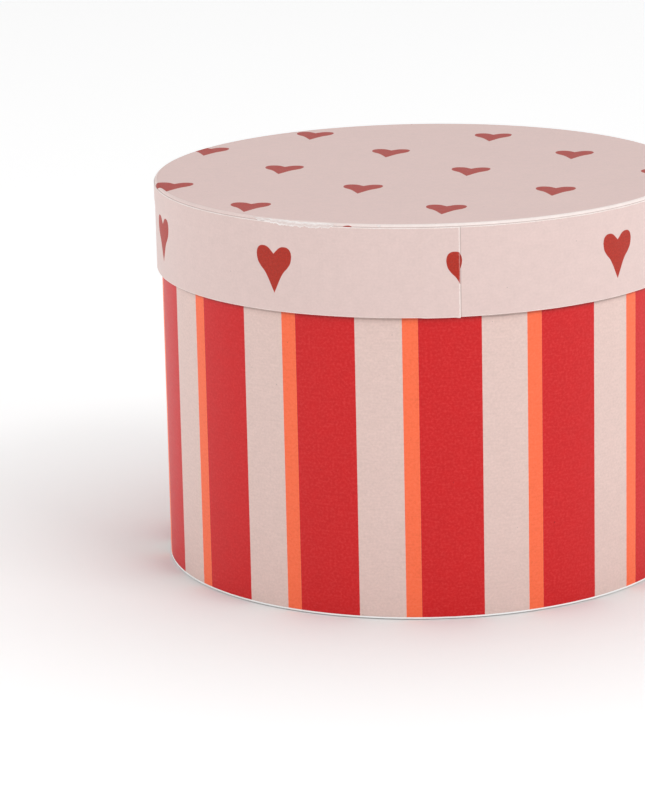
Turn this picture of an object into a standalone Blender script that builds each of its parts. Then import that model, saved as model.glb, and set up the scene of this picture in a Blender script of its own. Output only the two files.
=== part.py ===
"""Round paper-covered hat box with a lift-off lid, as separate boards and papers.

Metres, +Z up. The origin is the centre of the base, on the surface that the box stands on,
and the lid's front seam is a little to the right of -Y. Every curved layer has its facets at
the same angles, so the glue lines between layers keep their width all the way round.
"""

import math

import bmesh
import bpy

MM = 0.001

# Driving dimensions
BODY_RADIUS = 126.3 * MM  # outside of the printed wrap
HEIGHT = 188.2 * MM  # lid on
LID_DEPTH = 43.5 * MM  # from the lid's top to its lower edge
BOARD = 2.0 * MM  # greyboard of the wall, the base and the lid's top
RIM_BOARD = 1.5 * MM  # greyboard of the lid's rim
BASE_CARD = 1.2 * MM  # white card under the base
CARD_EDGE = 0.15 * MM  # from the outside of the wrap out to the card's edge
PAPER = 0.2 * MM
GLUE = 0.05 * MM  # between two glued layers
LID_CLEARANCE = 0.35 * MM  # between the wrap and the inside of the lid
LID_SEAT_GAP = 0.3 * MM  # between the wall's top edge and the lid's lining
TAPE_SPACE = 0.3 * MM  # between the wall board and the papers inside it
TURN_DOWN = 10.0 * MM  # of the lid's top paper, down its rim
TURN_IN = 15.0 * MM  # of the wrap, into the box
RIM_TURN_IN = 12.0 * MM  # of the rim paper, into the lid
TURN_UNDER = 14.0 * MM  # of the wrap, under the base
CORNER_RADIUS = 1.2 * MM  # of the lid's top board
RIM_PAPER_DROP = 1.5 * MM  # from the lid's top to the upper edge of its rim paper
RIDGE = 0.3 * MM  # height of the step where the rim paper leaves the turn-down
WALL_SLIT = 0.5 * MM  # between the butted ends of the wall board
TAPE_END = 1.5 * MM  # from each end of the tape to the edge that it stops short of
PAPER_JOIN = 0.3 * MM  # between the edges of two papers that meet in one layer
LAP_END = 0.4 * MM  # from each end of a lap to the edge or ridge that it stops short of

SEGMENTS = 96  # facets round every turned layer
CORNER_STEPS = 4  # facets in the rounded corner of the lid
LAP_FACETS = 2  # width of a glued lap, in facets
TAPE_FACETS = 4  # width of the tape, in facets
SHARP_ANGLE = math.radians(30)  # edges that turn by more than this are shaded sharp
SAME_PLACE = 0.001 * MM  # points closer than this are one point
ON_AXIS = 0.01 * MM  # and so are a turned profile's copies closer than this

# Places round the box, in facets counter-clockwise from -Y
RIM_SEAMS = {"front": 2.125, "back": 50.125}
WRAP_SEAM = 42.5
WALL_JOINT = 54.5

# Levels of the body, from the floor up
WRAP_BOTTOM = BASE_CARD + GLUE
WALL_BOTTOM = WRAP_BOTTOM + PAPER + GLUE
BASE_TOP = WALL_BOTTOM + BOARD
BASE_LINING_TOP = BASE_TOP + GLUE + PAPER

# Levels of the lid, from its top down
LID_BOARD_TOP = HEIGHT - PAPER - GLUE
LID_BOARD_BOTTOM = LID_BOARD_TOP - BOARD
LID_LINING_TOP = LID_BOARD_BOTTOM - GLUE
LID_LINING_BOTTOM = LID_LINING_TOP - PAPER
LID_BOTTOM = HEIGHT - LID_DEPTH
TURN_DOWN_BOTTOM = HEIGHT - TURN_DOWN
WRAP_TOP = LID_LINING_BOTTOM - LID_SEAT_GAP
WALL_TOP = WRAP_TOP - PAPER - GLUE

# Radii of the body, from the outside in
WALL_OUTER = BODY_RADIUS - PAPER - GLUE
WALL_INNER = WALL_OUTER - BOARD
TAPE_OUTER = WALL_INNER - GLUE
LINING_OUTER = WALL_INNER - TAPE_SPACE
LINING_INNER = LINING_OUTER - PAPER

# Radii of the lid, from the inside out
LID_INNER = BODY_RADIUS + LID_CLEARANCE
RIM_LINING_OUTER = LID_INNER + PAPER
RIM_INNER = RIM_LINING_OUTER + GLUE
RIM_OUTER = RIM_INNER + RIM_BOARD
SKIRT_INNER = RIM_OUTER + GLUE
SKIRT_OUTER = SKIRT_INNER + PAPER
RIM_PAPER_INNER_UPPER = SKIRT_OUTER + GLUE
RIM_PAPER_UPPER = RIM_PAPER_INNER_UPPER + PAPER


def clear_scene():
    for obj in list(bpy.data.objects):
        bpy.data.objects.remove(obj)


def collection(name, hidden=False):
    made = bpy.data.collections.new(name)
    made.hide_render = hidden
    bpy.context.scene.collection.children.link(made)
    return made


def material(name, colour, roughness):
    made = bpy.data.materials.new(name)
    made.use_nodes = True
    shader = made.node_tree.nodes["Principled BSDF"]
    shader.inputs["Base Color"].default_value = (*colour, 1.0)
    shader.inputs["Roughness"].default_value = roughness
    shader.inputs["Metallic"].default_value = 0.0
    return made


def put(obj, home, parent, finish):
    """Moves obj into the collection home and under parent, and gives it its material."""
    for old in list(obj.users_collection):
        old.objects.unlink(obj)
    home.objects.link(obj)
    obj.parent = parent
    if finish:
        obj.data.materials.append(finish)
    return obj


def arc(centre, radius, start, end, steps):
    """Points on an arc in a profile's plane; the angles are in degrees from outwards to up."""
    turn = [math.radians(start + (end - start) * i / steps) for i in range(steps + 1)]
    return [(centre[0] + radius * math.cos(t), centre[1] + radius * math.sin(t)) for t in turn]


def shaded(obj):
    """Shades a round piece smooth, apart from its sharp edges."""
    obj.data.shade_smooth()
    obj.data.set_sharp_from_angle(angle=SHARP_ANGLE)
    return obj


def turned(name, profile, closed=True):
    """A profile of (radius, height) points, turned round Z. It runs down its outer side."""
    mesh = bpy.data.meshes.new(name)
    edges = [(i, i + 1) for i in range(len(profile) - 1)]
    if closed:
        edges.append((len(profile) - 1, 0))
    mesh.from_pydata([(r, 0.0, z) for r, z in profile], edges, [])
    obj = bpy.data.objects.new(name, mesh)
    screw = obj.modifiers.new("turn", "SCREW")
    screw.axis = "Z"
    screw.steps = SEGMENTS
    screw.render_steps = SEGMENTS
    screw.use_merge_vertices = True
    screw.merge_threshold = ON_AXIS
    bpy.context.scene.collection.objects.link(obj)
    return meshed(obj)


def ring(name, inner, outer, bottom, top):
    return turned(name, [(outer, top), (outer, bottom), (inner, bottom), (inner, top)])


def disc(name, radius, bottom, top):
    bpy.ops.mesh.primitive_cylinder_add(
        vertices=SEGMENTS,
        radius=radius,
        depth=top - bottom,
        location=(0.0, 0.0, (bottom + top) / 2),
    )
    obj = bpy.context.object
    obj.name = name
    return shaded(obj)


def on_facets(radius, position):
    """A point on the faceted circle, position facets counter-clockwise from -Y."""
    first = math.floor(position)
    share = position - first
    ends = []
    for corner in (first, first + 1):
        angle = 2 * math.pi * corner / SEGMENTS - math.pi / 2
        ends.append((radius * math.cos(angle), radius * math.sin(angle)))
    return tuple(a + (b - a) * share for a, b in zip(*ends))


def curved_strip(name, inner, outer, start, end, bottom, top):
    """A strip that follows the facets from start to end, as an extruded outline made a mesh."""
    corners = range(math.floor(start) + 1, math.ceil(end))
    positions = [start, *corners, end]
    outline = [on_facets(outer, p) for p in positions]
    outline += [on_facets(inner, p) for p in reversed(positions)]
    curve = bpy.data.curves.new(name, "CURVE")
    curve.dimensions = "2D"
    curve.fill_mode = "BOTH"
    curve.extrude = (top - bottom) / 2
    spline = curve.splines.new("POLY")
    spline.points.add(len(outline) - 1)
    for point, (x, y) in zip(spline.points, outline):
        point.co = (x, y, 0.0, 1.0)
    spline.use_cyclic_u = True
    drawn = bpy.data.objects.new(name, curve)
    drawn.location.z = (bottom + top) / 2
    bpy.context.scene.collection.objects.link(drawn)
    return meshed(drawn)


def meshed(drawn):
    """The object as its modifiers or its curve make it: a plain mesh, welded and smooth."""
    bpy.context.view_layer.update()
    graph = bpy.context.evaluated_depsgraph_get()
    mesh = bpy.data.meshes.new_from_object(drawn.evaluated_get(graph))
    matrix = drawn.matrix_world.copy()
    name = drawn.name
    bpy.data.objects.remove(drawn)
    shape = bmesh.new()
    shape.from_mesh(mesh)
    bmesh.ops.remove_doubles(shape, verts=shape.verts, dist=SAME_PLACE)
    bmesh.ops.recalc_face_normals(shape, faces=shape.faces)
    shape.to_mesh(mesh)
    shape.free()
    obj = bpy.data.objects.new(name, mesh)
    obj.matrix_world = matrix
    bpy.context.scene.collection.objects.link(obj)
    return shaded(obj)


def combine(obj, tool, operation, tools):
    """Unites obj with the tool or cuts it, and puts the tool with the other tools."""
    put(tool, tools, None, None)
    tool.hide_render = True
    tool.display_type = "WIRE"
    modifier = obj.modifiers.new(tool.name, "BOOLEAN")
    modifier.operation = operation
    modifier.solver = "EXACT"
    modifier.object = tool


def lap(name, radius, free_edge, bottom, top):
    """The glued lap of a paper whose outside is at radius and whose edges are at bottom and top."""
    return curved_strip(
        name,
        radius - PAPER / 2,
        radius + PAPER,
        free_edge - LAP_FACETS,
        free_edge,
        bottom + LAP_END,
        top - LAP_END,
    )


def wall_board(tools):
    """The greyboard wall: a strip rolled into a tube, with its ends butted."""
    obj = ring("wall_board", WALL_INNER, WALL_OUTER, WALL_BOTTOM, WALL_TOP)
    middle = (WALL_INNER + WALL_OUTER) / 2
    x, y = on_facets(middle, WALL_JOINT)
    bpy.ops.mesh.primitive_cube_add(size=1.0, location=(x, y, HEIGHT / 2))
    slit = bpy.context.object
    slit.name = "wall_slit"
    slit.dimensions = (3 * BOARD, WALL_SLIT, 2 * HEIGHT)
    slit.rotation_euler.z = math.atan2(y, x)
    combine(obj, slit, "DIFFERENCE", tools)
    return obj


def wall_joint_tape():
    """Gummed paper tape over the butted ends of the wall board, inside the wall."""
    return curved_strip(
        "wall_joint_tape",
        TAPE_OUTER - PAPER,
        TAPE_OUTER,
        WALL_JOINT - TAPE_FACETS / 2,
        WALL_JOINT + TAPE_FACETS / 2,
        BASE_LINING_TOP + TAPE_END,
        WALL_TOP - TAPE_END,
    )


def body_wrap(tools):
    """Striped paper round the wall, turned in over its top edge and under the base."""
    flange = BODY_RADIUS - TURN_UNDER
    profile = [
        (BODY_RADIUS, WRAP_TOP),
        (BODY_RADIUS, WRAP_BOTTOM),
        (flange, WRAP_BOTTOM),
        (flange, WRAP_BOTTOM + PAPER),
        (BODY_RADIUS - PAPER, WRAP_BOTTOM + PAPER),
        (BODY_RADIUS - PAPER, WRAP_TOP - PAPER),
        (LINING_OUTER, WRAP_TOP - PAPER),
        (LINING_OUTER, WRAP_TOP - TURN_IN),
        (LINING_INNER, WRAP_TOP - TURN_IN),
        (LINING_INNER, WRAP_TOP),
    ]
    obj = turned("body_wrap", profile)
    strip = lap("wrap_lap", BODY_RADIUS, WRAP_SEAM, WRAP_BOTTOM, WRAP_TOP)
    combine(obj, strip, "UNION", tools)
    return obj


def body_lining():
    """Plain paper inside the wall, up to the edge of the wrap's turn-in."""
    top = WRAP_TOP - TURN_IN - PAPER_JOIN
    return ring("body_lining", LINING_INNER, LINING_OUTER, BASE_LINING_TOP + GLUE, top)


def rounded_disc_profile(radius, top, bottom, corner):
    """Half of a disc's section, from the middle of its top face, with its upper corner rounded."""
    centre = (radius - corner, top - corner)
    return [
        (0.0, top),
        *reversed(arc(centre, corner, 0, 90, CORNER_STEPS)),
        (radius, bottom),
        (0.0, bottom),
    ]


def lid_top_board():
    return turned(
        "lid_top_board",
        rounded_disc_profile(RIM_OUTER, LID_BOARD_TOP, LID_BOARD_BOTTOM, CORNER_RADIUS),
        closed=False,
    )


def lid_top_paper():
    """Printed paper on the lid's top, wrapped round its corner and turned down its rim."""
    inner = CORNER_RADIUS + GLUE
    outer = inner + PAPER
    centre = (SKIRT_INNER - inner, HEIGHT - outer)
    profile = [
        (0.0, HEIGHT),
        *reversed(arc(centre, outer, 0, 90, CORNER_STEPS)),
        (SKIRT_OUTER, TURN_DOWN_BOTTOM),
        (SKIRT_INNER, TURN_DOWN_BOTTOM),
        *arc(centre, inner, 0, 90, CORNER_STEPS),
        (0.0, HEIGHT - PAPER),
    ]
    return turned("lid_top_paper", profile, closed=False)


def lid_rim_paper(tools):
    """Printed paper round the rim, over the top paper's turn-down and in under the rim."""
    top = HEIGHT - RIM_PAPER_DROP
    step_top = TURN_DOWN_BOTTOM - GLUE
    step_bottom = step_top - RIDGE
    profile = [
        (RIM_PAPER_UPPER, top),
        (RIM_PAPER_UPPER, step_top),
        (SKIRT_OUTER, step_bottom),
        (SKIRT_OUTER, LID_BOTTOM),
        (LID_INNER, LID_BOTTOM),
        (LID_INNER, LID_BOTTOM + RIM_TURN_IN),
        (RIM_LINING_OUTER, LID_BOTTOM + RIM_TURN_IN),
        (RIM_LINING_OUTER, LID_BOTTOM + PAPER),
        (SKIRT_INNER, LID_BOTTOM + PAPER),
        (SKIRT_INNER, step_bottom),
        (RIM_PAPER_INNER_UPPER, step_top),
        (RIM_PAPER_INNER_UPPER, top),
    ]
    obj = turned("lid_rim_paper", profile)
    for place, free_edge in RIM_SEAMS.items():
        upper = lap(f"{place}_lap_upper", RIM_PAPER_UPPER, free_edge, step_top, top)
        lower = lap(f"{place}_lap_lower", SKIRT_OUTER, free_edge, LID_BOTTOM, step_bottom)
        combine(obj, upper, "UNION", tools)
        combine(obj, lower, "UNION", tools)
    return obj


def lid_rim_lining():
    """Plain paper inside the rim, above the rim paper's turn-in."""
    bottom = LID_BOTTOM + RIM_TURN_IN + PAPER_JOIN
    return ring("lid_rim_lining", LID_INNER, RIM_LINING_OUTER, bottom, LID_LINING_BOTTOM - GLUE)


def build():
    clear_scene()
    parts = collection("hat_box")
    tools = collection("tools", hidden=True)
    body = put(bpy.data.objects.new("body", None), parts, None, None)
    lid = put(bpy.data.objects.new("lid", None), parts, None, None)

    greyboard = material("greyboard", (0.36, 0.32, 0.28), 0.9)
    kraft = material("kraft_tape", (0.45, 0.30, 0.17), 0.8)
    card = material("white_card", (0.87, 0.86, 0.84), 0.6)
    lining = material("lining_paper", (0.83, 0.80, 0.77), 0.7)
    stripes = material("striped_paper", (0.62, 0.02, 0.03), 0.45)
    hearts = material("heart_paper", (0.79, 0.58, 0.55), 0.45)

    put(disc("base_card", BODY_RADIUS + CARD_EDGE, 0.0, BASE_CARD), parts, body, card)
    put(disc("base_board", WALL_INNER - GLUE, WALL_BOTTOM, BASE_TOP), parts, body, greyboard)
    base_paper = disc("base_lining", LINING_OUTER - GLUE, BASE_TOP + GLUE, BASE_LINING_TOP)
    put(base_paper, parts, body, lining)
    put(wall_board(tools), parts, body, greyboard)
    put(wall_joint_tape(), parts, body, kraft)
    put(body_wrap(tools), parts, body, stripes)
    put(body_lining(), parts, body, lining)

    rim = ring("lid_rim_board", RIM_INNER, RIM_OUTER, LID_BOTTOM + PAPER + GLUE, LID_LINING_TOP)
    put(rim, parts, lid, greyboard)
    put(lid_top_board(), parts, lid, greyboard)
    under = disc("lid_top_lining", RIM_LINING_OUTER, LID_LINING_BOTTOM, LID_LINING_TOP)
    put(under, parts, lid, lining)
    put(lid_rim_lining(), parts, lid, lining)
    put(lid_top_paper(), parts, lid, hearts)
    put(lid_rim_paper(tools), parts, lid, hearts)


build()
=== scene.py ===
"""The looks of a round hat box in printed paper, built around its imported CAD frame.

Each paper is one folded sheet. Its section is a path with rounded folds, swept round the axis, and
every point remembers its place on the flat sheet in millimetres, so that the print follows the
folds. Bearings are angles round the axis from the front (-Y) towards +X. Lengths are in metres.
"""

import math

import bmesh
import bpy
import numpy as np
from mathutils import Matrix, Vector, noise


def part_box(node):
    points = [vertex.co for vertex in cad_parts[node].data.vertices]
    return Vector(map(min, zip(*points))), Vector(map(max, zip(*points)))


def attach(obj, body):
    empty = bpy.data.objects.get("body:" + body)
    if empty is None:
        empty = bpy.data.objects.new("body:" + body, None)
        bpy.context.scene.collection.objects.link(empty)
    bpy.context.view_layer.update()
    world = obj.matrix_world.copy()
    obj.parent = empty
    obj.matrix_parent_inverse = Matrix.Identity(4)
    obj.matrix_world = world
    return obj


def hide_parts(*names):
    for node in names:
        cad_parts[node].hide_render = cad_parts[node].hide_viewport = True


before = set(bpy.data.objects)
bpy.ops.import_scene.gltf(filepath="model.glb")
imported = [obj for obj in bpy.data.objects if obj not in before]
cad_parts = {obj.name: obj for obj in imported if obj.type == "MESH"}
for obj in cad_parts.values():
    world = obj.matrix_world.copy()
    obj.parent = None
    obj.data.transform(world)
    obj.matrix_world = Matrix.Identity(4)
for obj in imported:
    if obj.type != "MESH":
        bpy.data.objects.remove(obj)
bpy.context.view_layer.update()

MM = 0.001

# Camera: where it stands and how it is turned, in degrees
CAMERA_PLACE = (0.0, -1.7516, 0.5263)
CAMERA_TURN = -1.619  # about the vertical, towards +X
CAMERA_PITCH = 14.536  # down from level
CAMERA_ROLL = -1.278
LENS = 163.4  # mm, on a 36 mm long side

# Papers
PAPER = 0.2 * MM
TURN_IN = 15.0 * MM  # of the wrap, into the box
RIM_TURN_IN = 12.0 * MM  # of the rim paper, into the lid
TURN_UNDER = 14.0 * MM  # of the wrap, under the base
GLUE = 0.02 * MM  # between the two papers of a lap
LAP = math.radians(7.5)  # bearing covered by a glued lap
LAP_RAMP = math.radians(0.9)  # in which the upper paper climbs onto the lower one
FRAY = 0.9 * MM  # from a free edge, where the paper thins
FRAYED = 0.25  # share of its thickness that is left at the edge
CORNER_DROOP = 0.35 * MM  # of the rim paper's lower corner, where its glue has let go
DROOP_SIZE = (2.5 * MM, 1.2 * MM)  # along the rim and up it
FOOT_RIDGE = (7.0 * MM, 1.4 * MM, 0.09 * MM)  # in the wrap: level, half width and height
TAPE_SWELL = 0.12 * MM  # of the lining over the wall's joint tape
RIDGE_SLOPE = 3.0 * MM  # in which the rim paper comes down off the end of the turn-down
BEARING_STEP = math.radians(0.75)
SHARP_ANGLE = math.radians(35)  # edges that turn by more than this are shaded sharp
SAME_PLACE = 0.001 * MM
PAPER_ROUGHNESS = 0.44
PAPER_GLOSS = 0.34  # specular level of the satin papers
TOP_GLOSS = 0.22  # and of the lid's top, which is worn duller

# Bend radius of each fold
WALL_FOLD = 0.6 * MM  # of the wrap over the wall
FOOT_FOLD = 0.12 * MM  # and round its foot
LID_CORNER = 1.45 * MM  # of the top paper round the lid's upper edge
RIDGE_BEND = 16.0 * MM  # of the rim paper, off the end of the turn-down
RIM_FOLD = 0.4 * MM  # and round the rim's lower edge
DISC_EDGE = 0.08 * MM  # of the lining discs' edges

# Base card
CARD_CURL = 0.50 * MM  # of its edge, off the floor
CARD_CURLED = 3.0 * MM  # width that curls
CARD_BEND = 2.0 * MM  # bend radius where the curl starts
CARD_SLANT = 0.15 * MM  # of its cut edge
CARD_ROUNDING = 0.04 * MM

# Waviness of the papers: size of the lumps, and half of their height
WRAP_COCKLE = (22.0 * MM, 0.04 * MM)
LINING_COCKLE = (30.0 * MM, 0.05 * MM)
RIM_COCKLE = (16.0 * MM, 0.04 * MM)
CARD_COCKLE = (9.0 * MM, 0.04 * MM)
PUCKERS = (2.6 * MM, 0.035 * MM)  # of the lid's top paper
PUCKERED = 4.0 * MM  # width of the puckered part, at its edge

# Bearings of the free edges, as in the CAD
FRONT_SEAM = math.radians(7.96875)
BACK_SEAM = FRONT_SEAM + math.pi
WRAP_SEAM = math.radians(159.375)
LINING_SEAM = math.radians(196.0)
RIM_LINING_SEAM = math.radians(120.0)
TAPE = (math.radians(204.375), math.radians(8.5))  # middle and half width, with its slopes

# Stripes round the wrap, in mm from the front
STRIPE_REPEAT = 58.73
RED_START = -1.68
RED_WIDTH = 29.4
ORANGE_WIDTH = 7.32

# Hearts, in mm
HEART_PITCH = 92.0  # along a row
HEART_ROWS = 45.7  # from one row to the next
HEART_HEIGHT = 21.8
HEART_SPAN = 25.0  # scale of the outline curves, upwards
HEART_HALF_SPAN = 10.0  # and sideways
# Height above the tip, at each distance from the heart's middle line
HEART_SIDE = ((0.0, 0.0), (1.5, 3.1), (3.3, 6.8), (5.0, 9.6), (7.6, 12.5), (9.0, 14.9), (9.5, 17.8))
HEART_LOBE = ((0.0, 18.4), (1.3, 19.7), (3.0, 21.2), (5.5, 21.9), (7.9, 21.3), (9.1, 19.8), (9.5, 17.8))
RIM_TIP_DEPTH = 34.85  # from the lid's top down to the tips on the rim
LEFT_HEART = 21.1  # middle of one heart on each rim paper, from the front
RIGHT_HEART = 9.4
TOP_HEART = (-118.8, -31.2)  # middle of one heart on the lid's top
TOP_HEARTS_TURN = -8.07  # degrees from +X to the direction of its rows

# Inks and papers, linear colours
PINK = (0.765, 0.575, 0.525)
HEART_PINK = (0.762, 0.590, 0.556)
TOP_PINK = (0.790, 0.585, 0.550)
RED = (0.636, 0.004, 0.006)
ORANGE = (1.000, 0.160, 0.058)
HEART_RED = (0.432, 0.019, 0.005)
CORE = (0.870, 0.840, 0.810)
CARD_CUT = (1.000, 1.000, 0.990)
CARD_FACE = (0.790, 0.765, 0.725)
LINING = (0.820, 0.790, 0.750)
GREYBOARD = (0.340, 0.305, 0.265)
KRAFT = (0.430, 0.285, 0.165)
# pale colour of worn paper, also painted as a highlight on the lid's upper corner
WORN_AND_HIGHLIGHT = (1.000, 0.920, 0.880)
TORN = (1.000, 0.955, 0.935)
TORN_PINK = (0.780, 0.660, 0.630)

# Torn places on the lid's upper edge: bearings in degrees, and how far down they reach
TEARS = ((-37.5, -17.6, 3.0 * MM), (-8.8, -7.9, 0.8 * MM), (141.0, 147.0, 2.2 * MM))

# Light: brightness of the room at the horizon and overhead, and how much darker its front is
HORIZON_LIGHT = 0.98
ZENITH_LIGHT = 0.56
FRONT_DIMMING = 0.70
SOFTBOX_SIZE = (1.7, 1.7)
SOFTBOXES = {"left_light": ((-1.9, -1.35, 1.6), 10.5), "right_light": ((1.8, -1.6, 1.8), 27.0)}
FLOOR_COLOUR = (0.82, 0.82, 0.82)
# painted light: the floor glows, faintly near the box and more far from it
FLOOR_GLOW = (0.02, 0.37)  # near the box and far from it
FLOOR_FADE = (127.0, 220.0)  # mm from the axis where the glow starts to grow, and mm that it takes
FLOOR_LEVEL = -0.02 * MM  # just clear of the base card
FLOOR_REACH = 14.0  # metres


# ---------------------------------------------------------------- places, from the frame


def outside(node):
    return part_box(node)[1].x


def bottom(node):
    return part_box(node)[0].z


def top(node):
    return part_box(node)[1].z


BODY_RADIUS = outside("body_wrap")
WRAP_TOP = top("body_wrap")
WRAP_BOTTOM = bottom("body_wrap")
INSIDE_RADIUS = outside("body_lining") - PAPER
RIM_RADIUS = outside("lid_rim_paper")
SKIRT_RADIUS = outside("lid_top_paper")
LID_INSIDE = outside("lid_rim_lining") - PAPER
LID_TOP = top("lid_top_paper")
LID_BOTTOM = bottom("lid_rim_paper")
RIM_TOP = top("lid_rim_paper")
RIDGE_LEVEL = bottom("lid_top_paper")


# ---------------------------------------------------------------- sheets


class Path:
    """A sheet's face in section: points, their normals, and how far along the sheet they are."""

    def __init__(self, corners, spacing):
        """corners are (radius, height, bend radius). The face is on the left of the way along."""
        places = [np.array(c[:2]) for c in corners]
        ways = [(b - a) / np.linalg.norm(b - a) for a, b in zip(places, places[1:])]
        points, normals = [], []
        start = places[0]
        for i, way in enumerate(ways):
            turn, reach = 0.0, 0.0
            if i + 1 < len(ways):
                after = ways[i + 1]
                turn = math.atan2(way[0] * after[1] - way[1] * after[0], way @ after)
                reach = corners[i + 1][2] * math.tan(abs(turn) / 2)
            end = places[i + 1] - way * reach
            steps = max(1, math.ceil(np.linalg.norm(end - start) / spacing))
            points += [start + (end - start) * k / steps for k in range(steps + 1)]
            normals += [left_of(way)] * (steps + 1)
            if turn:
                bend = corners[i + 1][2]
                centre = end + left_of(way) * math.copysign(bend, turn)
                parts = max(2, math.ceil(abs(turn) / math.radians(12)))
                for k in range(1, parts):
                    spin = rotation(turn * k / parts)
                    points.append(centre + spin @ (end - centre))
                    normals.append(spin @ left_of(way))
                start = places[i + 1] + after * reach
        self.points = np.array(points)
        self.normals = np.array(normals)
        gaps = np.linalg.norm(np.diff(self.points, axis=0), axis=1)
        self.run = np.concatenate(([0.0], np.cumsum(gaps)))

    def at(self, run):
        """Points and normals at these distances along the sheet."""
        points = [np.interp(run, self.run, self.points[:, k]) for k in (0, 1)]
        normals = [np.interp(run, self.run, self.normals[:, k]) for k in (0, 1)]
        return np.stack(points, -1), np.stack(normals, -1)


def left_of(way):
    return np.array((-way[1], way[0]))


def rotation(angle):
    c, s = math.cos(angle), math.sin(angle)
    return np.array(((c, -s), (s, c)))


def smooth(values, low, high):
    """0 below low, 1 above high and a smooth slope between."""
    share = np.clip((values - low) / (high - low), 0.0, 1.0)
    return share * share * (3.0 - 2.0 * share)


def waves(bearings, heights, size, seed):
    """Smooth noise round the wall, from -1 to 1, with lumps of about this size."""
    bearings, heights = np.broadcast_arrays(bearings, heights)
    x = BODY_RADIUS * np.sin(bearings) / size
    y = -BODY_RADIUS * np.cos(bearings) / size
    z = heights / size + 17.3 * seed
    points = np.stack((x, y, z), -1).reshape(-1, 3)
    values = [noise.noise(p) for p in points]
    return np.array(values).reshape(bearings.shape)


def round_bearings(start, end, fine):
    """Bearings from start to end at even steps, with closer ones before each bearing in fine."""
    count = math.ceil((end - start) / BEARING_STEP - 1e-6)
    even = np.linspace(start, end, count + 1)
    close = [place - gap * MM / BODY_RADIUS for place in fine for gap in (0.25, 0.5, 0.75, 1.1, 2.2)]
    return np.unique(np.round(np.concatenate((even, close)), 9))


def swept(name, bearings, loops, flat, printed, closed=False):
    """A closed mesh through section loops, shape (bearing, point, 2) as radius and height.

    flat holds each point's place on the flat sheet in mm, and printed says for each side of the
    loop whether it carries the print, which is the mesh's first material."""
    count, around, _ = loops.shape
    radii, heights = loops[..., 0], loops[..., 1]
    turn = bearings[:, None]
    vertices = np.stack((radii * np.sin(turn), -radii * np.cos(turn), heights), -1)
    faces, slots = [], []
    for a in range(count if closed else count - 1):
        b = (a + 1) % count
        for k in range(around):
            m = (k + 1) % around
            faces.append((a * around + k, b * around + k, b * around + m, a * around + m))
            slots.append(0 if printed[k] else 1)
    if not closed:
        half = around // 2
        for a in (0, count - 1):
            for k in range(half - 1):
                ends = (k, k + 1, around - 2 - k, around - 1 - k)
                faces.append(tuple(a * around + e for e in ends))
                slots.append(1)
    mesh = bpy.data.meshes.new(name)
    mesh.from_pydata(vertices.reshape(-1, 3), [], faces)
    mesh.polygons.foreach_set("material_index", slots)
    place = mesh.attributes.new("sheet", "FLOAT_VECTOR", "POINT")
    place.data.foreach_set("vector", flat.astype(np.float32).ravel())
    shape = bmesh.new()
    shape.from_mesh(mesh)
    on_axis = [v for v in shape.verts if v.co.xy.length < SAME_PLACE]
    bmesh.ops.remove_doubles(shape, verts=on_axis, dist=SAME_PLACE)
    bmesh.ops.recalc_face_normals(shape, faces=shape.faces)
    shape.to_mesh(mesh)
    shape.free()
    mesh.shade_smooth()
    mesh.set_sharp_from_angle(angle=SHARP_ANGLE)
    obj = bpy.data.objects.new(name, mesh)
    bpy.context.scene.collection.objects.link(obj)
    return obj


def sheet(name, path, bearings, lift=0.0, thickness=PAPER, closed=False, flat=None):
    """A paper along the path, lifted from it by lift, with its print on the face."""
    shape = (len(bearings), len(path.run))
    lift = np.broadcast_to(lift, shape)[..., None]
    thickness = np.broadcast_to(thickness, shape)[..., None]
    face = path.points[None] + path.normals[None] * lift
    back = face - path.normals[None] * thickness
    loops = np.concatenate((face, back[:, ::-1]), axis=1)
    if flat is None:
        around = np.broadcast_to(bearings[:, None] * BODY_RADIUS, shape)
        along = np.broadcast_to(path.run[None], shape)
        flat = np.stack((around, along, np.zeros(shape)), -1) / MM
    flat = np.concatenate((flat, flat[:, ::-1]), axis=1)
    printed = [k < shape[1] - 1 for k in range(2 * shape[1])]
    return swept(name, bearings, loops, flat, printed, closed)


def disc(name, path, lift=0.0):
    """A solid disc whose section runs from the middle of its top face round to its underside."""
    bearings = np.arange(0.0, 2 * math.pi - 1e-6, BEARING_STEP)
    shape = (len(bearings), len(path.run))
    lift = np.broadcast_to(lift, shape)[..., None]
    loops = path.points[None] + path.normals[None] * lift
    loops[..., 0] = np.maximum(loops[..., 0], 0.0)
    turn = bearings[:, None]
    flat = np.stack((loops[..., 0] * np.sin(turn), -loops[..., 0] * np.cos(turn), loops[..., 1]), -1)
    printed = [True] * shape[1]
    return swept(name, bearings, loops, flat / MM, printed, closed=True)


def cockled(bearings, heights, cockle, seed):
    """How far a wavy paper stands off the board under it."""
    size, height = cockle
    return (waves(bearings, heights, size, seed) + 1) * height


def lapped(start, end):
    """Bearings of a paper that ends in a lap, how much it is lifted there and its thickness."""
    bearings = round_bearings(start, end, fine=(end, end - LAP))
    climb = smooth(bearings, end - LAP - LAP_RAMP, end - LAP + LAP_RAMP / 2)
    whole = smooth((end - bearings) * BODY_RADIUS, -0.3 * FRAY, FRAY)
    thickness = PAPER * (FRAYED + (1.0 - FRAYED) * whole)
    return bearings, climb[:, None] * (PAPER + GLUE), thickness[:, None]


def finish_piece(obj, body, slot, materials, *nodes):
    """Gives a piece its materials and makes it ride on its body in place of CAD nodes."""
    for made in materials:
        obj.data.materials.append(made)
    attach(obj, body)
    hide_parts(*nodes)
    return obj


# ---------------------------------------------------------------- shader values


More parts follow.
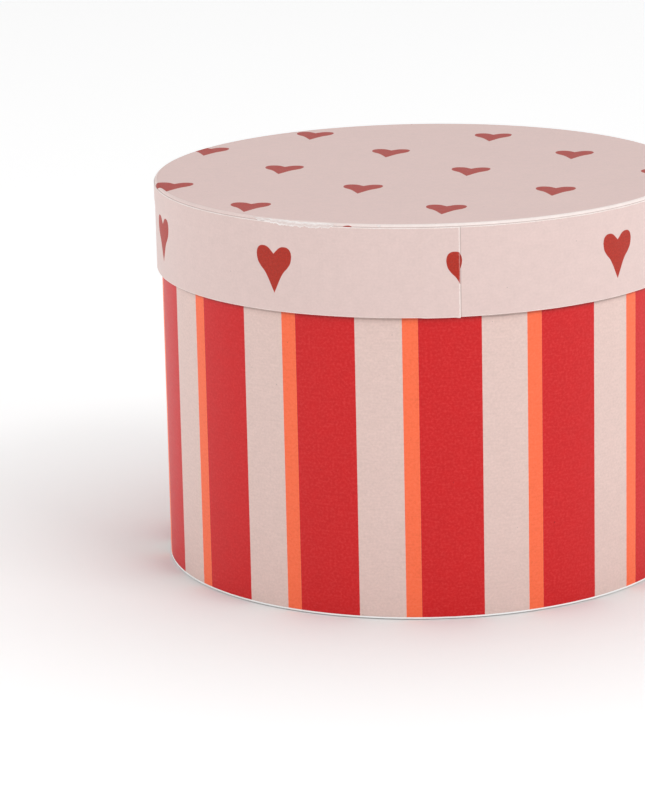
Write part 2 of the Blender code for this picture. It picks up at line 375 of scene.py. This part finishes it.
class Value:
    """A number that a shader works out at each point, written as ordinary arithmetic."""

    def __init__(self, tree, socket):
        self.tree = tree
        self.socket = socket

    def step(self, operation, *others, clamp=False):
        node = self.tree.nodes.new("ShaderNodeMath")
        node.operation = operation
        node.use_clamp = clamp
        for slot, item in zip(node.inputs, (self, *others)):
            plug(self.tree, item, slot)
        return Value(self.tree, node.outputs[0])

    def __add__(self, other):
        return self.step("ADD", other)

    def __sub__(self, other):
        return self.step("SUBTRACT", other)

    def __rsub__(self, other):
        return self.step("MULTIPLY", -1.0) + other

    def __mul__(self, other):
        return self.step("MULTIPLY", other)

    def __truediv__(self, other):
        return self.step("DIVIDE", other)

    def __abs__(self):
        return self.step("ABSOLUTE")

    __radd__ = __add__
    __rmul__ = __mul__

    def least(self, other):
        return self.step("MINIMUM", other)

    def most(self, other):
        return self.step("MAXIMUM", other)

    def rounded(self):
        return self.step("ROUND")

    def folded(self, period):
        """The distance to the nearest whole multiple of period, with its sign."""
        return self - (self / period).rounded() * period

    def clamped(self):
        return self.step("ADD", 0.0, clamp=True)

    def above(self, level, softness):
        """1 above the level and 0 below it, with a soft edge."""
        return ((self - level) / softness + 0.5).clamped()


def plug(tree, item, socket):
    if isinstance(item, Value):
        tree.links.new(item.socket, socket)
    elif isinstance(item, bpy.types.NodeSocket):
        tree.links.new(item, socket)
    elif isinstance(item, tuple):
        socket.default_value = (*item, 1.0)[: len(socket.default_value)]
    else:
        socket.default_value = item


class Surface:
    """A material under construction."""

    def __init__(self, name, roughness, specular=0.5):
        self.material = bpy.data.materials.new(name)
        self.material.use_nodes = True
        self.tree = self.material.node_tree
        self.shader = self.tree.nodes["Principled BSDF"]
        self.shader.inputs["Specular IOR Level"].default_value = specular
        self.shader.inputs["Roughness"].default_value = roughness

    def node(self, kind, **inputs):
        made = self.tree.nodes.new(kind)
        for name, item in inputs.items():
            plug(self.tree, item, made.inputs[name.replace("_", " ")])
        return made

    def value(self, socket):
        return Value(self.tree, socket)

    def sheet_place(self):
        """The place on the flat sheet in mm, as a vector socket and its first two parts."""
        place = self.tree.nodes.new("ShaderNodeAttribute")
        place.attribute_name = "sheet"
        return place.outputs["Vector"], *self.parted(place.outputs["Vector"])[:2]

    def parted(self, vector):
        parts = self.node("ShaderNodeSeparateXYZ", Vector=vector)
        return [self.value(parts.outputs[axis]) for axis in "XYZ"]

    def object_place(self):
        """The place in the row frame in mm."""
        place = self.tree.nodes.new("ShaderNodeTexCoord")
        return self.stretched(place.outputs["Object"], (1 / MM, 1 / MM, 1 / MM))

    def stretched(self, place, scale):
        node = self.tree.nodes.new("ShaderNodeVectorMath")
        node.operation = "MULTIPLY"
        self.tree.links.new(place, node.inputs[0])
        node.inputs[1].default_value = scale
        return node.outputs["Vector"]

    def lumps(self, place, size, detail=2.0, rough=0.5):
        """Noise from 0 to 1 with lumps of about this size in mm."""
        node = self.node("ShaderNodeTexNoise", Vector=place, Scale=1.0 / size, Detail=detail)
        node.inputs["Roughness"].default_value = rough
        return self.value(node.outputs["Fac"])

    def mixed(self, share, first, second):
        node = self.tree.nodes.new("ShaderNodeMix")
        node.data_type = "RGBA"
        plug(self.tree, share, node.inputs["Factor"])
        plug(self.tree, first, node.inputs[6])
        plug(self.tree, second, node.inputs[7])
        return node.outputs[2]

    def shaded(self, colour, factor):
        """The colour, made lighter or darker by a factor near 1."""
        node = self.tree.nodes.new("ShaderNodeVectorMath")
        node.operation = "SCALE"
        plug(self.tree, colour, node.inputs[0])
        plug(self.tree, factor, node.inputs["Scale"])
        return node.outputs["Vector"]

    def curve(self, share, points):
        """A curve through points of (share, height), each from 0 to 1."""
        node = self.tree.nodes.new("ShaderNodeFloatCurve")
        line = node.mapping.curves[0]
        for point, place in zip(line.points, (points[0], points[-1])):
            point.location = place
        for place in points[1:-1]:
            line.points.new(*place)
        for point in line.points:
            point.handle_type = "AUTO_CLAMPED"
        node.mapping.update()
        plug(self.tree, share, node.inputs["Value"])
        return self.value(node.outputs["Value"])

    def finish(self, colour, roughness, height, depth):
        """Links the colour, the roughness and a bump whose height of 1 is depth metres."""
        plug(self.tree, colour, self.shader.inputs["Base Color"])
        plug(self.tree, roughness, self.shader.inputs["Roughness"])
        bump = self.node("ShaderNodeBump", Height=height, Distance=depth)
        self.tree.links.new(bump.outputs["Normal"], self.shader.inputs["Normal"])
        return self.material


# ---------------------------------------------------------------- prints and papers


def printed_paper(surface, colour, place, mottling=1.0):
    """Satin printed paper: mottled ink with pale fibres in it, and a slightly uneven face."""
    fine = surface.lumps(place, 0.5, detail=2.0, rough=0.6) - 0.5
    grain = surface.lumps(place, 1.2, detail=1.0) - 0.5
    streaks = surface.lumps(surface.stretched(place, (0.16, 1.3, 1.0)), 1.1, detail=2.0) - 0.5
    cloud = surface.lumps(place, 5.0, detail=2.0) - 0.5
    broad = surface.lumps(place, 30.0, detail=2.0) - 0.5
    uneven = fine * 0.10 + grain * 0.19 + streaks * 0.10
    specks = surface.lumps(place, 1.6, detail=0.0).above(0.90, 0.06) * -0.3
    inked = surface.shaded(colour, uneven * mottling + cloud * 0.09 + broad * 0.05 + specks + 1.0)
    pale = (fine * 0.03 + grain * 0.05 + streaks * 0.02 + 0.004).most(0.0) * mottling
    inked = surface.mixed(pale, inked, (1.0, 1.0, 1.0))
    roughness = fine * 0.12 + cloud * 0.10 + 0.46
    height = (fine * 0.5 + grain * 0.5 + streaks * 0.4) * mottling + cloud * 1.6
    return surface.finish(inked, roughness, height, 0.014 * MM)


def band(distance, half_width, softness):
    """1 within half_width of a line and 0 away from it, from the distance to it in mm."""
    return (half_width - abs(distance)).above(0.0, softness)


def worn(surface, place, colour, distance, width, strength, steady=0.4):
    """The colour, rubbed pale within about this width in mm of an edge.

    steady is the share of the wear that is even along the edge."""
    ragged = (surface.lumps(place, 0.7, detail=3.0) - 0.5) * width * 1.6
    patchy = surface.lumps(place, 9.0, detail=2.0).above(0.42, 0.3) * (1.0 - steady) + steady
    return surface.mixed(band(distance + ragged, width, width * 0.6) * patchy * strength, colour, WORN_AND_HIGHLIGHT)


def torn_paper():
    """Fibres that are left where the print has torn off, whitest along the edges of the tear."""
    surface = Surface("torn_fibres", 0.85, specular=0.2)
    place = surface.node("ShaderNodeAttribute").outputs["Vector"]
    place.node.attribute_name = "sheet"
    down = surface.parted(place)[2]
    streaks = surface.lumps(surface.stretched(place, (0.35, 1.5, 0.0)), 0.8, detail=3.0, rough=0.7)
    edges = abs(down - 0.5) * 2.0
    white = (edges * 1.1 + streaks * 1.9 - 1.0).clamped()
    colour = surface.mixed(white, TORN_PINK, TORN)
    return surface.finish(colour, 0.85, streaks, 0.03 * MM)


def heart_ink(surface, place):
    """The hearts' red, printed unevenly on the grain."""
    grain = surface.lumps(place, 0.8, detail=2.0, rough=0.7)
    return surface.shaded(HEART_RED, (grain - 0.5) * 0.9 + 1.0)


def heart_share(surface, across, up):
    """1 inside a heart and 0 outside it, from mm across its middle line and up from its tip."""
    share = abs(across) / HEART_HALF_SPAN
    past_side = 0.97  # from here on the curves have changed places, so that nothing is inside
    side = [(x / HEART_HALF_SPAN, y / HEART_SPAN) for x, y in HEART_SIDE]
    lobe = [(x / HEART_HALF_SPAN, y / HEART_SPAN) for x, y in HEART_LOBE]
    lower = surface.curve(share, [*side, (past_side, 1.0), (1.0, 1.0)]) * HEART_SPAN
    upper = surface.curve(share, [*lobe, (past_side, 0.0), (1.0, 0.0)]) * HEART_SPAN
    return (up - lower).least(upper - up).above(0.0, 0.16)


def striped_paper():
    """Printed paper of the wrap, rubbed at its folds, with shadow painted just below where the lid's edge
    rests.
    """
    surface = Surface("striped_paper", PAPER_ROUGHNESS, specular=PAPER_GLOSS)
    place, around, along = surface.sheet_place()
    uneven = surface.lumps(place, 1.5) - 0.5
    past_red = (around - RED_START + uneven * 0.12).step("FLOORED_MODULO", STRIPE_REPEAT)
    in_red = past_red.above(0.0, 0.1) * (RED_WIDTH - past_red).above(0.0, 0.1)
    in_orange = (past_red - (STRIPE_REPEAT - ORANGE_WIDTH)).above(0.0, 0.1)
    colour = surface.mixed(in_red, PINK, RED)
    colour = surface.mixed(in_orange, colour, ORANGE)
    height = (TURN_IN + WRAP_TOP + BODY_RADIUS - INSIDE_RADIUS) / MM - along
    under_lid = LID_BOTTOM / MM - height
    # painted shadow under the lid's edge: a thin dark line with a softer band below it
    painted_lid_shadow = band(under_lid - 0.4, 0.5, 0.5) * 0.27 + band(under_lid - 0.9, 1.0, 1.6) * 0.09
    colour = surface.shaded(colour, 1.0 - painted_lid_shadow)
    top_edge = along - (TURN_IN + (BODY_RADIUS - INSIDE_RADIUS) / 2) / MM
    colour = worn(surface, place, colour, top_edge, width=1.3, strength=0.4)
    foot = along - (TURN_IN + (WRAP_TOP - WRAP_BOTTOM) + BODY_RADIUS - INSIDE_RADIUS) / MM
    colour = worn(surface, place, colour, foot + 0.1, width=0.32, strength=0.95, steady=0.8)
    return printed_paper(surface, colour, place)


def rim_heart_paper(name, middle, free_edge, other_edge):
    """Printed paper of one rim strip, with a row of upright hearts that has one at middle.

    free_edge is the bearing of the strip's own end, and other_edge that of the paper on top of it."""
    surface = Surface(name, PAPER_ROUGHNESS, specular=PAPER_GLOSS)
    place, around, along = surface.sheet_place()
    across = (around * (SKIRT_RADIUS / BODY_RADIUS) - middle).folded(HEART_PITCH)
    depth = along + (LID_TOP - RIM_TOP) / MM
    share = heart_share(surface, across, RIM_TIP_DEPTH - depth)
    colour = surface.mixed(share, HEART_PINK, heart_ink(surface, place))
    colour = worn(surface, place, colour, along, width=0.4, strength=0.8)
    to_edge = around - free_edge * BODY_RADIUS / MM
    colour = worn(surface, place, colour, to_edge, width=0.42, strength=share * -0.55 + 0.75)
    lower_edge = along - (RIM_TOP - LID_BOTTOM) / MM
    colour = worn(surface, place, colour, lower_edge, width=0.4, strength=0.5)
    # painted shadow of the upper paper's free edge: a thin dark line on this paper beside it
    painted_shade_line = band(around - other_edge * BODY_RADIUS / MM - 0.3, 0.25, 0.25) * 0.22
    colour = surface.shaded(colour, 1.0 - painted_shade_line)
    return printed_paper(surface, colour, place, mottling=0.5)


def top_heart_paper():
    """Printed paper of the lid's top, with rows of hearts that are staggered by half a step."""
    surface = Surface("heart_paper_top", PAPER_ROUGHNESS, specular=TOP_GLOSS)
    place, x, y = surface.sheet_place()
    out = (x * x + y * y).step("SQRT")
    # painted highlight with wear on the lid's upper corner, strongest at the front right
    highlight_and_wear = (x * 0.9 - y * 0.45).above(20.0, 90.0) * 0.6 + 0.4  # most at the front right
    c, s = math.cos(math.radians(TOP_HEARTS_TURN)), math.sin(math.radians(TOP_HEARTS_TURN))
    x, y = x - TOP_HEART[0], y - TOP_HEART[1]
    along, up = x * c + y * s, y * c - x * s
    row = (up / HEART_ROWS).rounded()
    shift = row.step("FLOORED_MODULO", 2.0) * (HEART_PITCH / 2)
    across = (along - shift).folded(HEART_PITCH)
    height = up - row * HEART_ROWS + HEART_HEIGHT / 2
    share = heart_share(surface, across, height)
    corner_start = (SKIRT_RADIUS - LID_CORNER) / MM
    corner_end = corner_start + LID_CORNER * math.pi / 2 / MM
    past_middle = out - (corner_start + corner_end) / 2
    # pale corner band: painted highlight and wear together
    colour = surface.mixed(band(past_middle, 0.95, 0.5) * highlight_and_wear * 0.8, TOP_PINK, WORN_AND_HIGHLIGHT)
    colour = surface.mixed(share, colour, heart_ink(surface, place))
    # painted shade: a thin dark line where the corner ends, just above the rim paper's edge, and a faint one
    # where the corner starts
    painted_shade_line = band(out - corner_end, 0.18, 0.2) * 0.25 + band(out - corner_start, 0.3, 0.4) * 0.06
    colour = surface.shaded(colour, 1.0 - painted_shade_line)
    return printed_paper(surface, colour, place, mottling=0.5)


def plain_paper(name, colour, roughness, grain, flecks=0.0):
    """Uncoated paper or board: fibres of this size in mm, a soft mottle and darker flecks."""
    surface = Surface(name, roughness, specular=0.3)
    place = surface.object_place()
    fibres = surface.lumps(place, grain, detail=4.0, rough=0.7)
    mottle = surface.lumps(place, grain * 14)
    specks = surface.lumps(place, grain * 1.4, detail=1.0).above(0.72, 0.06)
    factor = (fibres - 0.5) * 0.18 + (mottle - 0.5) * 0.08 - specks * flecks + 1.0
    rough = (fibres - 0.5) * 0.1 + roughness
    height = fibres + mottle * 0.8
    return surface.finish(surface.shaded(colour, factor), rough, height, 0.03 * MM)


def base_card_paper():
    """White card, clean on its cut edge and scuffed on its underside, most where it rests."""
    surface = Surface("white_card", 0.65, specular=0.3)
    place, x, y = surface.sheet_place()
    from_edge = outside("base_card") / MM - (x * x + y * y).step("SQRT")
    fibres = surface.lumps(place, 0.5, detail=4.0, rough=0.7) - 0.5
    mottle = surface.lumps(place, 9.0) - 0.5
    soiling = surface.lumps(place, 30.0, detail=3.0).above(0.5, 0.3)
    scratches = surface.lumps(surface.stretched(place, (0.05, 1.0, 1.0)), 1.8).above(0.66, 0.06)
    resting = band(from_edge - 6.0, 3.0, 4.0) * (mottle * 2.0 + 0.9)
    marks = soiling * 0.05 + scratches * (soiling * 0.10 + 0.04) + resting * 0.12
    face = surface.shaded(CARD_FACE, fibres * 0.16 + mottle * 0.06 - marks + 1.0)
    colour = surface.mixed(from_edge.above(0.5, 0.3), CARD_CUT, face)
    return surface.finish(colour, fibres * 0.1 + 0.65, fibres + mottle * 0.8, 0.03 * MM)


# ---------------------------------------------------------------- the box


def body_wrap(materials):
    """Striped paper, folded over the wall's top edge and under the base."""
    path = Path(
        [
            (INSIDE_RADIUS, WRAP_TOP - TURN_IN, 0.0),
            (INSIDE_RADIUS, WRAP_TOP, WALL_FOLD),
            (BODY_RADIUS, WRAP_TOP, WALL_FOLD),
            (BODY_RADIUS, WRAP_BOTTOM, FOOT_FOLD),
            (BODY_RADIUS - TURN_UNDER, WRAP_BOTTOM, 0.0),
        ],
        spacing=3 * MM,
    )
    bearings, climb, thickness = lapped(WRAP_SEAM - LAP - 2 * math.pi, WRAP_SEAM)
    heights = path.points[None, :, 1]
    outer = path.points[None, :, 0] > (INSIDE_RADIUS + BODY_RADIUS) / 2
    cockle = cockled(bearings[:, None], heights, WRAP_COCKLE, 1)
    level, half_width, height = FOOT_RIDGE
    ridge = np.exp(-(((heights - level) / half_width) ** 2)) * height
    lift = climb + np.where(outer, cockle + ridge, 0.0) - (PAPER - thickness)
    obj = sheet("body_wrap_paper", path, bearings, lift, thickness)
    return finish_piece(obj, "box", "striped_paper", materials, "body_wrap")


def base_card(materials):
    """White card disc under the base, whose cut edge curls up a little off the floor."""
    radius, level = outside("base_card"), top("base_card")
    path = Path(
        [
            (0.0, level, 0.0),
            (radius - CARD_SLANT, level, CARD_ROUNDING),
            (radius, CARD_CURL, CARD_ROUNDING),
            (radius - CARD_CURLED, 0.0, CARD_BEND),
            (0.0, 0.0, 0.0),
        ],
        spacing=6 * MM,
    )
    turn = np.arange(0.0, 2 * math.pi - 1e-6, BEARING_STEP)[:, None]
    at_edge = path.normals[None, :, 0] > 0.1
    size, height = CARD_COCKLE
    lift = np.where(at_edge, waves(turn, 0.0, size, 2) * height, 0.0)
    obj = disc("base_card_disc", path, lift)
    return finish_piece(obj, "box", "white_card", materials, "base_card")


def lining_disc(name, body, materials, node):
    """Plain paper disc on the inside of the base or of the lid."""
    radius, level = outside(node), top(node)
    path = Path(
        [
            (0.0, level, 0.0),
            (radius, level, DISC_EDGE),
            (radius, level - PAPER, DISC_EDGE),
            (0.0, level - PAPER, 0.0),
        ],
        spacing=5 * MM,
    )
    return finish_piece(disc(name, path), body, "lining_paper", materials, node)


def body_lining(materials):
    """Plain paper inside the wall, which swells a little over the joint tape."""
    path = Path(
        [(INSIDE_RADIUS, bottom("body_lining"), 0.0), (INSIDE_RADIUS, top("body_lining"), 0.0)],
        spacing=4 * MM,
    )
    bearings, climb, thickness = lapped(LINING_SEAM - LAP - 2 * math.pi, LINING_SEAM)
    turn = bearings[:, None]
    middle, half = TAPE
    off = np.abs((turn - middle + math.pi) % (2 * math.pi) - math.pi)
    swell = 1.0 - smooth(off, half - LAP_RAMP, half + LAP_RAMP)
    cockle = cockled(turn, path.points[None, :, 1], LINING_COCKLE, 3)
    lift = climb + swell * TAPE_SWELL + cockle - (PAPER - thickness)
    obj = sheet("body_lining_paper", path, bearings, lift, thickness)
    return finish_piece(obj, "box", "lining_paper", materials, "body_lining")


# ---------------------------------------------------------------- the lid


def lid_top_paper(materials):
    """Printed paper on the lid's top, wrapped round its corner and turned down its rim."""
    path = Path(
        [(0.0, LID_TOP, 0.0), (SKIRT_RADIUS, LID_TOP, LID_CORNER), (SKIRT_RADIUS, RIDGE_LEVEL, 0.0)],
        spacing=2.5 * MM,
    )
    bearings = np.arange(0.0, 2 * math.pi - 1e-6, BEARING_STEP)
    turn = bearings[:, None]
    near_edge = smooth(path.points[None, :, 0], SKIRT_RADIUS - PUCKERED, SKIRT_RADIUS)
    size, height = PUCKERS
    lift = waves(turn, path.points[None, :, 1], size, 4) * near_edge * height
    flat = np.stack((path.run * np.sin(turn), -path.run * np.cos(turn), 0.0 * path.run + 0.0 * turn), -1)
    obj = sheet("lid_top_sheet", path, bearings, lift, closed=True, flat=flat / MM)
    return finish_piece(obj, "lid", "heart_paper", materials, "lid_top_paper")


def rim_strip(name, start, end, materials, seed):
    """Half of the printed paper round the rim, turned in under it."""
    path = Path(
        [
            (RIM_RADIUS, RIM_TOP, 0.0),
            (RIM_RADIUS, RIDGE_LEVEL, RIDGE_BEND),
            (SKIRT_RADIUS, RIDGE_LEVEL - RIDGE_SLOPE, RIDGE_BEND),
            (SKIRT_RADIUS, LID_BOTTOM, RIM_FOLD),
            (LID_INSIDE, LID_BOTTOM, RIM_FOLD),
            (LID_INSIDE, LID_BOTTOM + RIM_TURN_IN, 0.0),
        ],
        spacing=1.5 * MM,
    )
    bearings, climb, thickness = lapped(start, end)
    heights = path.points[None, :, 1]
    outer = path.points[None, :, 0] > (SKIRT_RADIUS + LID_INSIDE) / 2
    cockle = cockled(bearings[:, None], heights, RIM_COCKLE, seed)
    raised = np.where(outer, 1.0, 0.5)
    lift = climb * raised + np.where(outer, cockle, 0.0) - (PAPER - thickness)
    along, up = DROOP_SIZE
    near_corner = smooth((bearings - end) * SKIRT_RADIUS, -along, 0.0)[:, None]
    near_corner = near_corner * (1.0 - smooth(heights, LID_BOTTOM, LID_BOTTOM + up))
    lift = lift + near_corner * CORNER_DROOP
    obj = sheet(name, path, bearings, lift, thickness)
    return finish_piece(obj, "lid", "heart_paper", materials, "lid_rim_paper")


def torn_fibres(name, start, end, depth, materials, seed):
    """A strip where the print has come off the lid's upper edge and its white fibres stand up.

    start and end are bearings, and depth is how far down the rim it reaches at most."""
    margin = 3 * MM
    path = Path(
        [
            (RIM_RADIUS - margin, LID_TOP, 0.0),
            (RIM_RADIUS, LID_TOP, LID_CORNER),
            (RIM_RADIUS, LID_TOP - 3 * margin, 0.0),
        ],
        spacing=0.3 * MM,
    )
    bearings = np.arange(start, end, math.radians(0.12))[:, None]
    share = (bearings - start) / (end - start)
    body = smooth(share, 0.0, 0.55) * (1.0 - smooth(share, 0.93, 1.0))
    ragged = waves(bearings, 0.0, 3.0 * MM, seed) * 0.25 + waves(bearings, 0.0, 0.9 * MM, seed + 1) * 0.14
    corner_start = margin - LID_CORNER
    upper = corner_start + LID_CORNER * (0.7 + 0.25 * waves(bearings, 0.0, 2.4 * MM, seed + 2))
    length = depth * np.maximum(0.12 + 0.88 * body + ragged, 0.06)
    down = np.linspace(0.0, 1.0, 15)[None] + 0.0 * bearings
    points, normals = path.at(upper + length * down)
    bulge = np.sin(math.pi * np.sqrt(down)) + 0.12
    heights = points[..., 1]
    lumpy = 1.0 + 0.7 * waves(bearings, heights, 0.8 * MM, seed + 3)
    proud = 0.09 * MM * bulge * lumpy + 0.02 * MM
    face = points + normals * proud[..., None]
    back = points - normals * 0.03 * MM
    loops = np.concatenate((face, back[:, ::-1]), axis=1)
    places = np.stack((bearings * RIM_RADIUS / MM + 0.0 * down, (upper + length * down) / MM, down), -1)
    places = np.concatenate((places, places[:, ::-1]), axis=1)
    printed = [True] * loops.shape[1]
    obj = swept(name, bearings[:, 0], loops, places, printed)
    return finish_piece(obj, "lid", "heart_paper", materials, "lid_rim_paper")


def lid_rim_lining(materials):
    """Plain paper inside the rim."""
    path = Path(
        [(LID_INSIDE, bottom("lid_rim_lining"), 0.0), (LID_INSIDE, top("lid_rim_lining"), 0.0)],
        spacing=3 * MM,
    )
    bearings, climb, thickness = lapped(RIM_LINING_SEAM - LAP - 2 * math.pi, RIM_LINING_SEAM)
    obj = sheet("lid_rim_lining_paper", path, bearings, climb - (PAPER - thickness), thickness)
    return finish_piece(obj, "lid", "lining_paper", materials, "lid_rim_lining")


# ---------------------------------------------------------------- the studio


def camera():
    yaw, pitch, roll = (math.radians(a) for a in (CAMERA_TURN, CAMERA_PITCH, CAMERA_ROLL))
    ahead = Vector((math.sin(yaw) * math.cos(pitch), math.cos(yaw) * math.cos(pitch), -math.sin(pitch)))
    right = Vector((math.cos(yaw), -math.sin(yaw), 0.0))
    up = right.cross(ahead)
    across = right * math.cos(roll) + up * math.sin(roll)
    upward = up * math.cos(roll) - right * math.sin(roll)
    made = bpy.data.objects.new("camera", bpy.data.cameras.new("camera"))
    made.data.lens = LENS
    made.data.sensor_width = 36.0
    made.matrix_world = Matrix((across, upward, -ahead)).transposed().to_4x4()
    made.location = CAMERA_PLACE
    bpy.context.scene.collection.objects.link(made)
    bpy.context.scene.camera = made


def area_light(name, place, aim, size, power):
    light = bpy.data.lights.new(name, "AREA")
    light.shape = "RECTANGLE"
    light.size, light.size_y = size
    light.energy = power
    made = bpy.data.objects.new(name, light)
    made.location = place
    made.rotation_mode = "QUATERNION"
    made.rotation_quaternion = (Vector(aim) - Vector(place)).to_track_quat("-Z", "Y")
    bpy.context.scene.collection.objects.link(made)


def studio():
    """A white room that is darkest overhead and in front, two softboxes and a pale floor whose glow is
    painted light, weakest near the box.
    """
    world = bpy.data.worlds.new("studio")
    world.use_nodes = True
    tree = world.node_tree
    direction = tree.nodes.new("ShaderNodeTexCoord")
    parts = tree.nodes.new("ShaderNodeSeparateXYZ")
    tree.links.new(direction.outputs["Generated"], parts.inputs["Vector"])
    to_back, upward = (Value(tree, parts.outputs[axis]) for axis in "YZ")
    forward = (to_back * -1.0).most(0.0)
    level = upward.most(0.0) * (ZENITH_LIGHT - HORIZON_LIGHT) + HORIZON_LIGHT
    level = level * (forward * forward * -FRONT_DIMMING + 1.0)
    plug(tree, level, tree.nodes["Background"].inputs["Strength"])
    tree.nodes["Background"].inputs["Color"].default_value = (1.0, 1.0, 1.0, 1.0)
    bpy.context.scene.world = world
    for name, (place, power) in SOFTBOXES.items():
        area_light(name, place, (0.0, 0.0, 0.1), SOFTBOX_SIZE, power)

    mesh = bpy.data.meshes.new("floor")
    corners = [(x * FLOOR_REACH, y * FLOOR_REACH, 0.0) for x, y in ((-1, -1), (1, -1), (1, 1), (-1, 1))]
    mesh.from_pydata(corners, [], [(0, 1, 2, 3)])
    floor = bpy.data.objects.new("floor", mesh)
    floor.location.z = FLOOR_LEVEL
    surface = Surface("floor", 0.8, specular=0.1)
    x, y = surface.parted(surface.object_place())[:2]
    distance = (x * x + y * y).step("SQRT")
    far = ((distance - FLOOR_FADE[0]) / FLOOR_FADE[1]).clamped().step("SQRT")
    surface.shader.inputs["Base Color"].default_value = (*FLOOR_COLOUR, 1.0)
    surface.shader.inputs["Emission Color"].default_value = (1.0, 1.0, 1.0, 1.0)
    glow = far * (FLOOR_GLOW[1] - FLOOR_GLOW[0]) + FLOOR_GLOW[0]
    plug(surface.tree, glow, surface.shader.inputs["Emission Strength"])
    mesh.materials.append(surface.material)
    bpy.context.scene.collection.objects.link(floor)
    bpy.context.scene.view_settings.view_transform = "Standard"


# ---------------------------------------------------------------- everything together


def build():
    camera()
    studio()

    core = plain_paper("paper_core", CORE, roughness=0.75, grain=0.35)
    lining = plain_paper("lining_paper", LINING, roughness=0.7, grain=0.4, flecks=0.05)
    greyboard = plain_paper("greyboard", GREYBOARD, roughness=0.9, grain=0.8, flecks=0.3)
    kraft = plain_paper("kraft_tape", KRAFT, roughness=0.7, grain=0.6, flecks=0.15)
    stripes = striped_paper()

    body_wrap((stripes, core))
    base_card((base_card_paper(),))
    lining_disc("base_lining_paper", "box", (lining,), "base_lining")
    body_lining((lining, lining))

    lid_top_paper((top_heart_paper(), core))
    left = rim_heart_paper("heart_paper_left", LEFT_HEART, FRONT_SEAM, BACK_SEAM - 2 * math.pi)
    right = rim_heart_paper("heart_paper_right", RIGHT_HEART, BACK_SEAM, FRONT_SEAM)
    rim_strip("rim_paper_left", BACK_SEAM - LAP - 2 * math.pi, FRONT_SEAM, (left, core), 5)
    rim_strip("rim_paper_right", FRONT_SEAM - LAP, BACK_SEAM, (right, core), 6)
    torn = torn_paper()
    for k, (start, end, depth) in enumerate(TEARS):
        torn_fibres(f"torn_edge_{k + 1}", math.radians(start), math.radians(end), depth, (torn,), 20 + 5 * k)
    lining_disc("lid_top_lining_paper", "lid", (lining,), "lid_top_lining")
    lid_rim_lining((lining, lining))

    hidden = {
        "wall_board": greyboard,
        "base_board": greyboard,
        "lid_top_board": greyboard,
        "lid_rim_board": greyboard,
        "wall_joint_tape": kraft,
    }
    for node, made in hidden.items():
        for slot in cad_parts[node].material_slots:
            slot.material = made


build()
